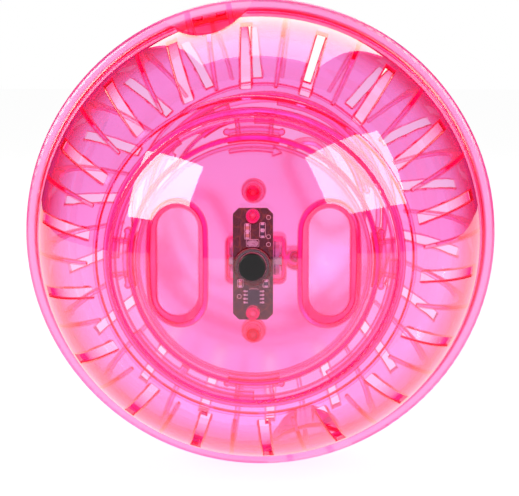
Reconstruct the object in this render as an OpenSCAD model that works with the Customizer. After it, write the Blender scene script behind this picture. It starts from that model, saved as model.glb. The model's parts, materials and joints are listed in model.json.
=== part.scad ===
// Exercise ball for a hamster: two moulded half shells snapped together at the equator,
// a twist-lock door at each pole, and a push-button light module inside the front door.
// Each half is drawn with its pole up and then turned so that the ball's axis lies along Y,
// the front door facing -Y. The origin is the ball's centre.

/* [Ball] */
// Outer radius of the round wall of a half shell
shell_r = 83.9; // [80:0.1:92]
// Wall of a half shell
shell_wall = 2; // [1.6:0.1:2.4]
// How far the flange at the equator stands out from the round wall
flange_w = 5; // [4:0.5:7]
// Thickness of the flange of one half
flange_t = 2.6; // [2.4:0.1:4]
// Radius of the flange's outer edge
flange_round = 2; // [0.5:0.1:2.2]
// Radius of the fillet between the flange and the round wall
flange_fillet = 2; // [0.5:0.1:2.4]

/* [Vent slots and ribs] */
// Number of vent slots, and of ribs, round one half
slot_count = 18; // [12:1:20]
// Width of a vent slot
slot_w = 3.3; // [2.6:0.1:4]
// Distance of a slot's inner end from the collar
slot_start = 2; // [1.4:0.1:6]
// Distance of a slot's outer end from the edge of the round wall
slot_end = 5.1; // [4.9:0.1:12]
// Radius of a slot's edges
slot_round = 0.6; // [0.2:0.1:0.9]
// Width of a rib near the equator
rib_w_low = 2; // [1.4:0.1:4]
// Width of a rib near the pole
rib_w_high = 0.9; // [0.7:0.1:1.6]
// Height of a rib at the equator, inwards from the wall
rib_h = 3.6; // [1.5:0.1:4]
// How much lower a rib is towards the pole
rib_fade = 4; // [0.5:0.1:4.2]

/* [Doorway] */
// How far the raised collar round the doorway stands above the round wall
collar_rise = 1.7; // [1.2:0.1:2.4]
// Width of the collar
collar_w = 6.8; // [5.8:0.1:7.8]
// Radius of the collar's edges and of the door's edge
edge_round = 0.7; // [0.2:0.1:0.9]
// Radius of the doorway
opening_r = 49.2; // [48:0.1:50]
// Width of the ledges that the door's lugs hook behind
ledge_w = 3.2; // [2.6:0.1:3.4]
// Thickness of a ledge
ledge_t = 1.8; // [1.4:0.1:2.2]
// Depth of a ledge's face below the edge of the doorway
ledge_drop = 3.45; // [3.2:0.05:4]
// Length of the neck wall below the lugs
neck_below = 1.7; // [1:0.1:3]
// Side of the square stop that ends the door's turn
stop_w = 3; // [2:0.1:3.4]
// How far the stop stands in the way of a lug's bar
stop_hook = 0.7; // [0.5:0.1:1.2]

/* [Door] */
// Wall of the domed door
door_wall = 2; // [1.6:0.1:2.2]
// Wall of the skirt
skirt_wall = 1.3; // [1:0.1:1.6]
// Wall of the skirt at a lug
skirt_wall_lug = 2; // [1.8:0.1:2.2]
// How far the skirt reaches below the lugs
skirt_below = 0.5; // [0.3:0.1:1.5]
// Width of the rim that rests over the ledges
rim_w = 2; // [1.5:0.1:2.5]
// Thickness of a lug's tab
tab_t = 1.8; // [1.4:0.1:2.2]
// Thickness of the curved bar of a lug
bar_t = 1.5; // [1.2:0.1:1.6]
// Gap between the skirt and a lug's bar
bar_gap = 1; // [0.8:0.1:1.1]
// Gap between a lug's bar and the ledges
lug_gap = 1.1; // [0.9:0.1:1.6]
// Radius of the rounded ends of a lug's bar
knob_r = 1.2; // [0.9:0.1:1.3]
// Height of the ribs under a lug's tab
lug_rib_h = 2; // [1.5:0.1:3]
// Thickness of the ribs under a lug's tab
lug_rib_t = 1.3; // [1:0.1:1.6]
// Height of the raised arrow
arrow_h = 0.4; // [0.3:0.05:0.6]
// Width of the arrow's shaft
arrow_w = 1; // [0.8:0.1:1.4]
// Width of the arrow's head
arrow_head_w = 3.4; // [3:0.1:4]
// Distance of the arrow from the skirt
arrow_in = 3.9; // [3.6:0.1:4.8]

/* [Finger wells] */
// Gap between a well's foot and the skirt
well_clear = 5.9; // [5.6:0.1:6.6]
// Half the distance between the middles of a well's round ends
well_half = 11.45; // [10:0.05:12]
// Radius of the round ends at the floor
well_floor_r = 7.2; // [6.8:0.1:7.4]
// Gap between a well's foot and the inner disc
well_over = 1.84; // [1.4:0.02:2.6]
// Wall and floor of a well
well_wall = 1.6; // [1.2:0.1:1.8]
// How much the radius grows over the full depth
well_flare = 4.5; // [3:0.1:4.8]
// How far a well's mouth leans outwards from its floor
well_lean = 2.2; // [0:0.1:2.6]

/* [Light module] */
// Width of the circuit board
board_w = 13.4; // [12.4:0.1:14]
// Length of the circuit board
board_len = 37.6; // [37:0.1:38.4]
// Thickness of the circuit board
board_t = 1.2; // [1:0.1:1.6]
// Height of the push switch on the board
switch_h = 2.2; // [2:0.1:2.4]
// Thickness of the button's flange
button_flange_t = 1; // [0.8:0.1:1.2]
// Gap between the button's flange and the dome
button_play = 0.6; // [0.3:0.1:0.8]
// Cut at each corner of the board
board_cut = 2; // [1.5:0.1:2.4]
// Distance of the board's peg holes from its ends
board_peg_in = 2.5; // [2.4:0.1:4]
// Distance of the inner disc's pegs from the board's ends
disc_peg_out = 5; // [4.2:0.1:6]
// Radius of a peg
peg_r = 2.25; // [2:0.05:2.3]
// Radius of the hollow core of a peg
peg_core_r = 1.15; // [0.9:0.05:1.2]
// Wall of a socket for a peg
socket_wall = 1.6; // [1.1:0.1:1.9]
// Height of a socket for a peg
socket_h = 2.5; // [2:0.1:2.8]
// Radius of the push button
button_r = 4.6; // [4.2:0.1:4.8]
// How far the button stands out of the door's crown
button_out = 2.4; // [2:0.1:3]
// Travel of the button
button_travel = 0.5; // [0.3:0.05:0.55]
// Wall of the sleeve round the button
sleeve_wall = 1.47; // [1.1:0.01:1.9]
// How far the sleeve stands out of the door's crown
sleeve_out = 0.9; // [0.6:0.1:1.2]
// Thickness of the inner disc that closes the module
disc_t = 1.8; // [1.4:0.1:2.2]
// Width of the raised rim of the inner disc
disc_rim_w = 1.3; // [1:0.1:1.8]
// Height of the raised rim of the inner disc
disc_rim_h = 2; // [1.4:0.1:3]

/* [Battery] */
// Diameter of a button cell
cell_d = 11.6; // [11.6:0.1:11.8]
// Thickness of a button cell
cell_t = 5.4; // [5.2:0.1:5.4]
// Play of the row of cells along the battery box
cell_play = 0.2; // [0.1:0.1:0.6]
// Gap between the cells and the box's long walls
cell_side_gap = 0.9; // [0.4:0.1:1.6]
// Wall of the battery box
box_wall = 1.3; // [1.1:0.1:1.4]
// How far the battery box lies to the right of the middle
box_shift = 0.6; // [0:0.1:0.8]
// Thickness of the battery cover
cover_t = 1.5; // [1.3:0.1:2]
// Radius of the boss for the screw
screw_boss_r = 3.2; // [3:0.1:3.4]
// Radius of the screw's shank
screw_r = 1; // [0.8:0.1:1.2]
// Radius of the screw's head
screw_head_r = 2; // [1.7:0.1:2.2]

/* [Clips and thumb recess] */
// Clock angle of the thumb recess, seen from the front
clip_clock = -12.8; // [-20:0.1:-5]
// Radius of the thumb recess
recess_r = 21.2; // [20:0.1:23]
// Depth of the thumb recess below the flange's edge
recess_depth = 10.9; // [10:0.1:11.5]
// Wall and floor of the thumb recess
recess_wall = 1.8; // [1.4:0.1:2]
// Width of the tongue
tongue_w = 13; // [11:0.5:14]
// Thickness of the tongue
tongue_t = 1.4; // [1.2:0.1:1.6]
// Width of one of the tongue's two barbs
barb_w = 4; // [3:0.1:5]
// How far a barb reaches over the floor of the recess
barb_reach = 1.6; // [1.2:0.1:2]
// Height of a barb
barb_h = 2.6; // [2:0.1:3]
// Thickness of the ribs on both sides of the clip
clip_rib_t = 2.2; // [1.6:0.1:2.6]
// Height of the ribs on both sides of the clip
clip_rib_h = 3; // [2:0.1:4]

/* [Hidden] */
$fn = 96;

// Clearances and the overrun that every cut and every union shares
run_gap = 0.3;
part_gap = 0.05;
slide_gap = 0.08;
seat_gap = 0.1;
ov = 0.5;

// Radii and heights that follow from the sizes above; heights are counted along the axis
rim_r = shell_r + flange_w;
inner_r = shell_r - shell_wall;
collar_r = shell_r + collar_rise;
crown_in = collar_r - door_wall;
collar_out = opening_r + collar_w;
slot_in = collar_out + slot_start;
slot_out = shell_r - slot_end;
ledge_top = height_on(collar_r, opening_r) - ledge_drop;
ledge_low = ledge_top - ledge_t;
tab_top = ledge_low - run_gap;
tab_low = tab_top - tab_t;
neck_low = tab_low - neck_below;
skirt_low = tab_low - skirt_below;
rim_low = ledge_top + run_gap;
door_r = opening_r - run_gap;
skirt_r = opening_r - ledge_w - lug_gap - bar_t - bar_gap;
stop_reach = lug_gap + stop_hook;
arrow_at = skirt_r - arrow_in;

// Angles of the pattern, seen from the front and counted clockwise from the top
pitch = 360 / slot_count;
slot_clock = -3;
rib_clock = 7;
lug_count = 4;
ledge_turn = 58;
stop_clock = 212;
bar_half_angle = 12.2;
tab_half_angle = 8.2;
arrow_from = -12;
arrow_to = 10;
arrow_tip = 14.5;

// Inside the front door: the switch under the button sets the board's height, and the dome
// at the inner disc's edge sets the disc's and with it the depth of the wells
board_top = crown_in - button_play - button_flange_t - button_travel - run_gap - switch_h;
board_low = board_top - board_t;
board_peg_at = board_len / 2 - board_peg_in;
disc_peg_at = board_len / 2 + disc_peg_out;
socket_r = peg_r + seat_gap / 2 + socket_wall;
disc_r = skirt_r - skirt_wall_lug - run_gap;
disc_top = height_on(crown_in, disc_r) - run_gap - disc_rim_h;
disc_low = disc_top - disc_t;
well_floor = disc_top + well_over + well_wall;
well_depth = collar_r - well_floor;
well_at = skirt_r - skirt_wall_lug - well_clear - well_wall - well_floor_r;
sleeve_r = button_r + slide_gap + sleeve_wall;
button_top = collar_r + button_out;
sleeve_top = collar_r + sleeve_out;

// The push switch under the button
switch_w = 6;
switch_floor = 0.4;
switch_bore_r = 1.7;
plunger_r = switch_bore_r - slide_gap;
plunger_top = board_top + switch_h + run_gap + button_travel;
plunger_low = board_top + switch_floor + run_gap + button_travel;
button_flange_w = 0.9;
button_flange_r = button_r + button_flange_w;
button_round = 0.6;

// The board's parts
chip_len = 4.9;
chip_w = 3.9;
chip_t = 1.5;
chip_gap = 0.5;
chip_off = 0.3;
chip_at = [chip_off, chip_gap + peg_r + chip_len / 2 - board_peg_at];
lead_pitch = 1.27;
lead_count = 4;
lead_w = 0.42;
lead_reach = 1.05;
lead_t = 0.25;
resonator_len = 3.7;
resonator_w = 2;
resonator_t = 1;
chip_part_len = 2;
chip_part_w = 1.25;
chip_part_t = 0.6;
row_gap = 0.45;
resistor_x = 3.2;
resistor_pitch = 2.4;
capacitor_x = 1.8;
capacitor_drop = 0.4;
capacitor_pitch = 2.6;
part_row = board_peg_at - peg_r - row_gap - chip_part_len / 2;
capacitor_row = part_row - capacitor_drop;
low_row_gap = 1.05;
low_row = chip_at[1] + chip_len / 2 + low_row_gap + chip_part_len / 2;
low_resistor_x = 4.4;
low_capacitor_x = 4.2;
resistor_at = [[resistor_x, part_row], [resistor_x, part_row - resistor_pitch],
               [low_resistor_x, low_row]];
capacitor_at = [[-capacitor_x, capacitor_row], [-capacitor_x, capacitor_row - capacitor_pitch],
                [-low_capacitor_x, low_row]];
resonator_gap = 0.6;
resonator_off = 0.1;
resonator_row = capacitor_row - capacitor_pitch - chip_part_len / 2 - resonator_gap
                - resonator_w / 2;
led_w = 3.2;
led_t = 1.4;
led_x = 3.6;
led_gap = 3.25;
led_row = board_peg_at - peg_r - led_gap - led_w / 2;

// The battery box hangs from the inner disc, towards the ball's centre
cell_axis_h = disc_low - run_gap - cell_d / 2;
box_low = cell_axis_h - cell_d / 2 - 2 * run_gap;
box_round = 2.2;
contact_t = 0.4;
contact_w = 8;
contact_tab_w = 2.4;
dimple_r = 2.2;
dimple_h = 0.3;
spring_turn_r = 3;
cell_count = 3;
box_len = cell_count * cell_t + cell_play + 2 * (box_wall + contact_t + dimple_h);
box_w = cell_d + 2 * (box_wall + cell_side_gap);
screw_at = box_len / 2 + screw_boss_r;
cell_from = box_shift - box_len / 2 + box_wall + contact_t + dimple_h;
screw_len = 7;
screw_head_t = 1.2;
screw_core_r = screw_r - slide_gap;
drive_w = 0.5;
drive_depth = 0.6;

// The tongue leaves its own half inside the wall and passes the floor of the other half's recess
recess_axis = rim_r - recess_depth + recess_r;
tongue_at = inner_r + tongue_t / 2 + seat_gap;
tongue_len = recess_wall + run_gap + barb_h;
clip_rib_at = tongue_w / 2 + run_gap + clip_rib_t / 2;

// Height of the point of a sphere of radius sphere_r that lies at distance r from the axis
function height_on(sphere_r, r) = sqrt(sphere_r * sphere_r - r * r);

// Turns a half from pole up to the front of the ball, where local y is up
module front_side() {
    rotate([90, 0, 0]) children();
}

// The rear half is the same moulding, turned over about the line that swaps recess and tongue
module rear_side() {
    flip = clip_clock + 90;
    rotate(a = 180, v = [sin(flip), 0, cos(flip)]) front_side() children();
}

// Places a child that is drawn at the top at a clock angle
module at_clock(angle) {
    rotate([0, 0, -angle]) children();
}

// A wedge over the clock angles from one to the other, for cutting sectors out of rings
module sector(from, to, low, high) {
    reach = 2 * rim_r;
    mid = (from + to) / 2;
    translate([0, 0, low])
        linear_extrude(high - low)
            polygon([[0, 0], reach * [sin(from), cos(from)], reach * [sin(mid), cos(mid)],
                     reach * [sin(to), cos(to)]]);
}

// A flat ring between two radii and two heights
module ring(r_in, r_out, low, high) {
    translate([0, 0, low])
        difference() {
            cylinder(r = r_out, h = high - low);
            translate([0, 0, -ov]) cylinder(r = r_in, h = high - low + 2 * ov);
        }
}

// A part of a flat ring between two clock angles
module ring_sector(r_in, r_out, low, high, from, to) {
    intersection() {
        ring(r_in, r_out, low, high);
        sector(from, to, low - ov, high + ov);
    }
}

// What rounds the corner between a sphere's outline and an upright line at distance at.
// side is 1 where the part lies inside that line, and -1 where it lies outside
module corner_cut(sphere_r, at, r, side) {
    mid_x = at - side * r;
    mid = [mid_x, height_on(sphere_r - r, mid_x)];
    past = (sphere_r + ov) / (sphere_r - r);
    difference() {
        polygon([mid, mid * past, [at + side * ov, mid[1] * past + r], [at + side * ov, mid[1]]]);
        translate(mid) circle(r = r, $fn = 48);
    }
}

// Flange with a round outer edge and a fillet to the round wall
module flange_profile() {
    fillet_top = flange_t + flange_fillet;
    fillet_x = height_on(shell_r, fillet_top) + flange_fillet;
    square([rim_r - flange_round, flange_t]);
    square([rim_r, flange_t - flange_round]);
    translate([rim_r - flange_round, flange_t - flange_round]) circle(r = flange_round, $fn = 48);
    difference() {
        square([fillet_x, fillet_top]);
        translate([fillet_x, fillet_top]) circle(r = flange_fillet, $fn = 48);
    }
}

// Half shell: the revolved wall with flange, raised collar and neck
module shell_wall_profile() {
    difference() {
        union() {
            circle(r = shell_r);
            flange_profile();
            intersection() {
                circle(r = collar_r);
                square([collar_out, collar_r]);
            }
        }
        corner_cut(collar_r, collar_out, edge_round, 1);
        corner_cut(collar_r, opening_r, edge_round, -1);
        difference() {
            circle(r = inner_r);
            translate([0, neck_low]) square([opening_r + shell_wall, collar_r]);
        }
        intersection() {
            circle(r = collar_r - shell_wall);
            translate([opening_r + shell_wall, neck_low])
                square([collar_out - opening_r - 2 * shell_wall, collar_r]);
        }
        translate([-collar_r, 0]) square([collar_r + opening_r, 2 * collar_r]);
        translate([-rim_r, part_gap - 2 * rim_r]) square([2 * rim_r, 2 * rim_r]);
    }
}

// Ribs inside the wall: wedges that thin out and get lower towards the pole
module ribs() {
    rib_in = slot_in;
    intersection() {
        difference() {
            sphere(r = inner_r + ov);
            translate([0, 0, rib_fade]) sphere(r = inner_r - rib_h);
        }
        for (k = [0 : slot_count - 1])
            at_clock(rib_clock + k * pitch)
                translate([0, 0, part_gap]) linear_extrude(rim_r)
                    polygon([[-rib_w_high / 2, rib_in], [rib_w_high / 2, rib_in],
                             [rib_w_low / 2, rim_r], [-rib_w_low / 2, rim_r]]);
    }
}

// Vent slots with rounded long edges: a ring about the line across the slot, between both ends
module slot_profile() {
    difference() {
        translate([inner_r - rib_h - ov, -slot_w / 2 - slot_round])
            square([shell_r - inner_r + rib_h + 2 * ov, slot_w + 2 * slot_round]);
        for (side = [-1, 1]) {
            translate([shell_r - slot_round, side * (slot_w / 2 + slot_round)])
                circle(r = slot_round, $fn = 48);
            translate([inner_r + slot_round, side * (slot_w / 2 + slot_round)])
                circle(r = slot_round, $fn = 48);
            translate([inner_r + slot_round, side * (slot_w + slot_round) / 2 - slot_round / 2])
                square([shell_r - inner_r - 2 * slot_round, slot_round]);
        }
    }
}

module vent_slots() {
    for (k = [0 : slot_count - 1])
        at_clock(slot_clock + k * pitch)
            intersection() {
                rotate([0, 90, 0]) rotate_extrude($fn = 180) slot_profile();
                translate([-slot_w, slot_in, flange_t + ov])
                    cube([2 * slot_w, slot_out - slot_in, rim_r]);
            }
}

// Ledges in the doorway, one clockwise of each lug, and the stop that ends the turn
module ledges() {
    for (k = [0 : lug_count - 1])
        ring_sector(opening_r - ledge_w, opening_r + ov, ledge_low, ledge_top,
                    k * 360 / lug_count, k * 360 / lug_count + ledge_turn);
    at_clock(stop_clock)
        translate([-stop_w / 2, opening_r - ledge_w - stop_reach, ledge_low])
            cube([stop_w, stop_reach + ov, ledge_t]);
}

// Thumb recess: a round well down to a floor beside the flange, closed towards the ball
module recess_body() {
    translate([0, recess_axis, part_gap])
        intersection() {
            cylinder(r = recess_r + recess_wall, h = rim_r);
            translate([0, -recess_axis, -part_gap]) sphere(r = inner_r + ov);
        }
}

module recess_cut() {
    translate([0, recess_axis, recess_wall]) cylinder(r = recess_r, h = rim_r);
}

// Window in the recess's floor for the other half's tongue
module tongue_window() {
    translate([-tongue_w / 2 - run_gap, tongue_at - tongue_t / 2 - run_gap, -ov])
        cube([tongue_w + 2 * run_gap, tongue_t + 2 * run_gap, recess_wall + 2 * ov]);
}

// Ribs that stiffen the recess's floor on both sides of the clip
module clip_ribs() {
    for (side = [-1, 1])
        intersection() {
            translate([side * clip_rib_at - clip_rib_t / 2, inner_r - recess_depth, part_gap])
                cube([clip_rib_t, rim_r - inner_r + recess_depth, recess_wall + clip_rib_h]);
            cylinder(r = rim_r - clip_rib_t / 2, h = rim_r);
        }
}

// Tongue with two barbs, opposite the recess, reaching past the parting plane
module tongue() {
    root = shell_wall;
    barb_low = recess_wall + run_gap;
    translate([-tongue_w / 2, tongue_at - tongue_t / 2, -tongue_len])
        cube([tongue_w, tongue_t, tongue_len + root]);
    for (side = [-1, 1])
        translate([side * (tongue_w - barb_w) / 2, tongue_at, -barb_low])
            rotate([90, 0, -90])
                translate([0, 0, -barb_w / 2])
                    linear_extrude(barb_w)
                        polygon([[0, 0], [-tongue_t / 2 - barb_reach, 0],
                                 [-tongue_t / 2 - barb_reach, -barb_h / 3],
                                 [-tongue_t / 2, -barb_h], [0, -barb_h]]);
}

module half_shell() {
    difference() {
        union() {
            rotate_extrude($fn = 180) shell_wall_profile();
            ribs();
            ledges();
            at_clock(clip_clock) recess_body();
        }
        vent_slots();
        at_clock(clip_clock) recess_cut();
        at_clock(clip_clock) tongue_window();
    }
    at_clock(clip_clock)
        intersection() {
            clip_ribs();
            translate([0, recess_axis, 0]) cylinder(r = recess_r + ov, h = rim_r);
        }
    at_clock(clip_clock + 180) tongue();
}

module front_shell() {
    color("#ff70c8", 0.45) front_side() half_shell();
}

module rear_shell() {
    color("#ff70c8", 0.45) rear_side() half_shell();
}

// Door: the revolved dome with its rim and the skirt that carries the lugs
module door_profile() {
    skirt_round = skirt_wall / 2;
    difference() {
        intersection() {
            circle(r = collar_r);
            union() {
                difference() {
                    square([door_r, collar_r]);
                    circle(r = crown_in);
                }
                translate([door_r - rim_w, rim_low]) square([rim_w, collar_r]);
                translate([skirt_r - skirt_wall, skirt_low + skirt_round])
                    square([skirt_wall, crown_in - skirt_low]);
                translate([skirt_r - skirt_round, skirt_low + skirt_round])
                    circle(r = skirt_round, $fn = 48);
            }
            translate([0, skirt_low]) square([door_r, collar_r]);
        }
        corner_cut(collar_r, door_r, edge_round, 1);
    }
}

// One bayonet lug at the top: thicker skirt, curved bar with round ends, tab and two ribs
module lug() {
    bar_in = skirt_r + bar_gap;
    bar_out = bar_in + bar_t;
    bar_high = rim_low - run_gap;
    tab_out = door_r - run_gap;
    knob_at = (bar_in + bar_out) / 2;
    skirt_high = height_on(crown_in, skirt_r);
    ring_sector(skirt_r - skirt_wall_lug, skirt_r, skirt_low, skirt_high + ov,
                -bar_half_angle, bar_half_angle);
    ring_sector(bar_in, bar_out, tab_low, bar_high, -bar_half_angle, bar_half_angle);
    for (side = [-1, 1])
        at_clock(side * bar_half_angle)
            translate([0, knob_at, tab_low]) cylinder(r = knob_r, h = bar_high - tab_low, $fn = 32);
    ring_sector(skirt_r - ov, tab_out, tab_low, tab_top, -tab_half_angle, tab_half_angle);
    ring_sector(skirt_r - ov, bar_out, tab_low, tab_top, -bar_half_angle, bar_half_angle);
    for (side = [-1, 1])
        at_clock(side * tab_half_angle)
            translate([-side * lug_rib_t / 2 - lug_rib_t / 2, skirt_r - ov, tab_low - lug_rib_h])
                cube([lug_rib_t, tab_out - skirt_r, lug_rib_h + tab_t / 2]);
}

// A finger well's form, from low up through the dome, with a margin all round
module well_form(margin, low, grow) {
    high = collar_r + ov;
    rise = high - low;
    low_r = well_floor_r + margin;
    hull()
        for (side = [-1, 1])
            translate([0, side * well_half, low])
                multmatrix([[1, 0, well_lean / well_depth, 0], [0, 1, 0, 0], [0, 0, 1, 0]])
                    cylinder(r1 = low_r, r2 = low_r + well_flare * rise / well_depth,
                             h = rise + grow, $fn = 64);
}

module wells() {
    for (side = [0, 1])
        rotate(side * 180) translate([well_at, 0, 0]) children();
}

// Raised arrow on the crown, showing which way the door locks
module arrow() {
    intersection() {
        difference() {
            sphere(r = collar_r + arrow_h);
            sphere(r = collar_r - ov);
        }
        union() {
            ring_sector(arrow_at - arrow_w / 2, arrow_at + arrow_w / 2, skirt_low, rim_r,
                        arrow_from, arrow_to);
            translate([0, 0, skirt_low])
                linear_extrude(rim_r)
                    polygon([(arrow_at - arrow_head_w / 2) * [sin(arrow_to), cos(arrow_to)],
                             (arrow_at + arrow_head_w / 2) * [sin(arrow_to), cos(arrow_to)],
                             arrow_at * [sin(arrow_tip), cos(arrow_tip)]]);
        }
    }
}

module plain_door() {
    difference() {
        union() {
            rotate_extrude($fn = 180) door_profile();
            for (k = [0 : lug_count - 1])
                at_clock(k * 360 / lug_count) lug();
            intersection() {
                wells() well_form(well_wall, well_floor - well_wall, 0);
                sphere(r = collar_r - ov);
            }
            arrow();
        }
        wells() well_form(0, well_floor, ov);
    }
}

// Hollow pegs under the dome: two carry the board, two hold the inner disc
module pegs() {
    for (side = [-1, 1]) {
        peg(side * board_peg_at, board_low - board_t);
        peg(side * disc_peg_at, disc_top + seat_gap);
    }
}

module peg(at, low) {
    top = height_on(collar_r, abs(at)) - door_wall / 2;
    translate([0, at, low])
        difference() {
            cylinder(r = peg_r, h = top - low, $fn = 48);
            translate([0, 0, -ov])
                cylinder(r = peg_core_r, h = top - low - door_wall + ov, $fn = 32);
        }
}

module button_sleeve() {
    translate([0, 0, crown_in]) cylinder(r = sleeve_r, h = sleeve_top - crown_in);
}

module front_door() {
    color("#ff78cc", 0.45)
        front_side()
            difference() {
                union() {
                    plain_door();
                    pegs();
                    button_sleeve();
                }
                translate([0, 0, board_top]) cylinder(r = button_r + slide_gap, h = rim_r);
            }
}

module rear_door() {
    color("#ff78cc", 0.45) rear_side() plain_door();
}

// A board of rounded outline, used for the battery box and its cover
module round_plate(len, w, r, h) {
    for (x = [-1, 1])
        for (y = [-1, 1])
            translate([x * (len / 2 - r), y * (w / 2 - r), 0]) cylinder(r = r, h = h, $fn = 48);
    translate([-len / 2, -w / 2 + r, 0]) cube([len, w - 2 * r, h]);
    translate([-len / 2 + r, -w / 2, 0]) cube([len - 2 * r, w, h]);
}

// Inner disc: closes the dome, holds the sockets, the battery box and the screw boss
module door_inner_disc() {
    box_h = disc_low - box_low;
    color("#ff84d0", 0.45)
        front_side()
            difference() {
                union() {
                    translate([0, 0, disc_low]) cylinder(r = disc_r, h = disc_t, $fn = 180);
                    ring(disc_r - disc_rim_w, disc_r, disc_low, disc_top + disc_rim_h);
                    for (side = [-1, 1])
                        translate([0, side * disc_peg_at, disc_low])
                            cylinder(r = socket_r, h = disc_t + socket_h);
                    translate([box_shift, 0, box_low])
                        round_plate(box_len, box_w, box_round, box_h + disc_t / 2);
                    translate([box_shift + screw_at, 0, box_low])
                        cylinder(r = screw_boss_r, h = box_h + disc_t / 2);
                    translate([box_shift, -screw_boss_r / 2, box_low])
                        cube([screw_at, screw_boss_r, box_h + disc_t / 2]);
                }
                for (side = [-1, 1])
                    translate([0, side * disc_peg_at, disc_top])
                        cylinder(r = peg_r + seat_gap / 2, h = socket_h + ov, $fn = 48);
                translate([box_shift, 0, box_low - ov])
                    round_plate(box_len - 2 * box_wall, box_w - 2 * box_wall,
                                box_round - box_wall, box_h + ov);
                translate([box_shift + screw_at, 0, box_low - ov])
                    cylinder(r = screw_core_r, h = screw_len + ov, $fn = 32);
                for (side = [-1, 1])
                    translate([box_shift + side * (box_len / 2 - box_wall - contact_t / 2)
                               - contact_t / 2 - run_gap, -contact_tab_w / 2 - run_gap, disc_low - ov])
                        cube([contact_t + 2 * run_gap, contact_tab_w + 2 * run_gap, disc_t + 2 * ov]);
            }
}

module circuit_board() {
    x = board_w / 2;
    y = board_len / 2;
    color("#4a3321")
        front_side()
            translate([0, 0, board_low])
                difference() {
                    linear_extrude(board_t)
                        polygon([[-x + board_cut, -y], [x - board_cut, -y], [x, -y + board_cut],
                                 [x, y - board_cut], [x - board_cut, y], [-x + board_cut, y],
                                 [-x, y - board_cut], [-x, -y + board_cut]]);
                    for (side = [-1, 1])
                        translate([0, side * board_peg_at, -ov])
                            cylinder(r = peg_r + seat_gap, h = board_t + 2 * ov, $fn = 48);
                }
}

// Eight-lead controller chip
module control_chip() {
    lead_row = (lead_count - 1) * lead_pitch;
    color("#2a2a2c")
        front_side()
            translate([chip_at[0], chip_at[1], board_top]) {
                translate([-chip_w / 2, -chip_len / 2, lead_t])
                    cube([chip_w, chip_len, chip_t]);
                for (side = [-1, 1])
                    for (k = [0 : lead_count - 1])
                        translate([side * (chip_w + lead_reach) / 2 - (lead_reach + lead_t) / 2,
                                   -lead_row / 2 + k * lead_pitch - lead_w / 2, 0])
                            cube([lead_reach + lead_t, lead_w, lead_t + lead_t]);
            }
}

module resonator() {
    bar = resonator_len - resonator_w;
    color("#c8c8cc")
        front_side()
            translate([-resonator_off, resonator_row, board_top]) {
                for (side = [-1, 1])
                    translate([side * bar / 2, 0, 0])
                        cylinder(r = resonator_w / 2, h = resonator_t, $fn = 32);
                translate([-bar / 2, -resonator_w / 2, 0]) cube([bar, resonator_w, resonator_t]);
            }
}

module chip_parts(places) {
    front_side()
        for (at = places)
            translate([at[0] - chip_part_w / 2, at[1] - chip_part_len / 2, board_top])
                cube([chip_part_w, chip_part_len, chip_part_t]);
}

module resistors() {
    color("#202022") chip_parts(resistor_at);
}

module capacitors() {
    color("#b8936a") chip_parts(capacitor_at);
}

// Light-emitting diodes on the side of the board that faces the ball's centre
module leds() {
    color("#f4f2e2")
        front_side()
            for (x = [-led_x, led_x])
                for (y = [-led_row, led_row])
                    translate([x - led_w / 2, y - led_w / 2, board_low - led_t])
                        cube([led_w, led_w, led_t]);
}

module switch_housing() {
    color("#4a4a4e")
        front_side()
            translate([0, 0, board_top])
                difference() {
                    translate([-switch_w / 2, -switch_w / 2, 0]) cube([switch_w, switch_w, switch_h]);
                    translate([0, 0, switch_floor])
                        cylinder(r = switch_bore_r, h = switch_h, $fn = 48);
                }
}

module switch_plunger() {
    color("#1c1c1e")
        front_side()
            translate([0, 0, plunger_low])
                cylinder(r = plunger_r, h = plunger_top - plunger_low, $fn = 48);
}

// Black button with a flange that keeps it behind the dome
module push_button() {
    color("#2a282c")
        front_side()
            rotate_extrude()
                difference() {
                    union() {
                        translate([0, plunger_top]) square([button_flange_r, button_flange_t]);
                        translate([0, plunger_top])
                            square([button_r, button_top - plunger_top - button_round]);
                        translate([0, plunger_top])
                            square([button_r - button_round, button_top - plunger_top]);
                        translate([button_r - button_round, button_top - button_round])
                            circle(r = button_round, $fn = 32);
                    }
                    translate([-rim_r, 0]) square([rim_r, 2 * rim_r]);
                }
}

// Button cells stand side by side along X
module battery_cell(k) {
    crimp = 0.5;
    can_t = cell_t - crimp;
    color("#c4c6ca")
        front_side()
            translate([cell_from + k * cell_t, 0, cell_axis_h])
                rotate([0, 90, 0]) {
                    translate([0, 0, crimp]) cylinder(r = cell_d / 2, h = can_t);
                    cylinder(r = cell_d / 2 - 2 * crimp, h = crimp + ov);
                }
}

module battery_cell_1() {
    battery_cell(0);
}

module battery_cell_2() {
    battery_cell(1);
}

module battery_cell_3() {
    battery_cell(2);
}

// A contact strip along one end wall of the battery box, with a tab up to the board
module contact_strip(side) {
    wall_x = box_shift + side * (box_len / 2 - box_wall);
    strip_x = side > 0 ? wall_x - contact_t : wall_x;
    translate([strip_x, -contact_w / 2, cell_axis_h - contact_w / 2])
        cube([contact_t, contact_w, contact_w]);
    translate([strip_x, -contact_tab_w / 2, cell_axis_h])
        cube([contact_t, contact_tab_w, disc_top + run_gap + contact_t - cell_axis_h]);
}

// The tab turns in over the inner disc and up to the board's edge
module contact_foot(side) {
    wall_x = box_shift + side * (box_len / 2 - box_wall);
    strip_x = side > 0 ? wall_x - contact_t : wall_x;
    foot_h = disc_top + run_gap;
    board_x = side * (board_w / 2 - contact_tab_w);
    from_x = min(strip_x, board_x);
    to_x = max(strip_x, board_x) + contact_t;
    translate([from_x, -contact_tab_w / 2, foot_h])
        cube([to_x - from_x, contact_tab_w, contact_t]);
    translate([board_x, -contact_tab_w / 2, foot_h])
        cube([contact_t, contact_tab_w, board_low - foot_h]);
}

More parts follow.
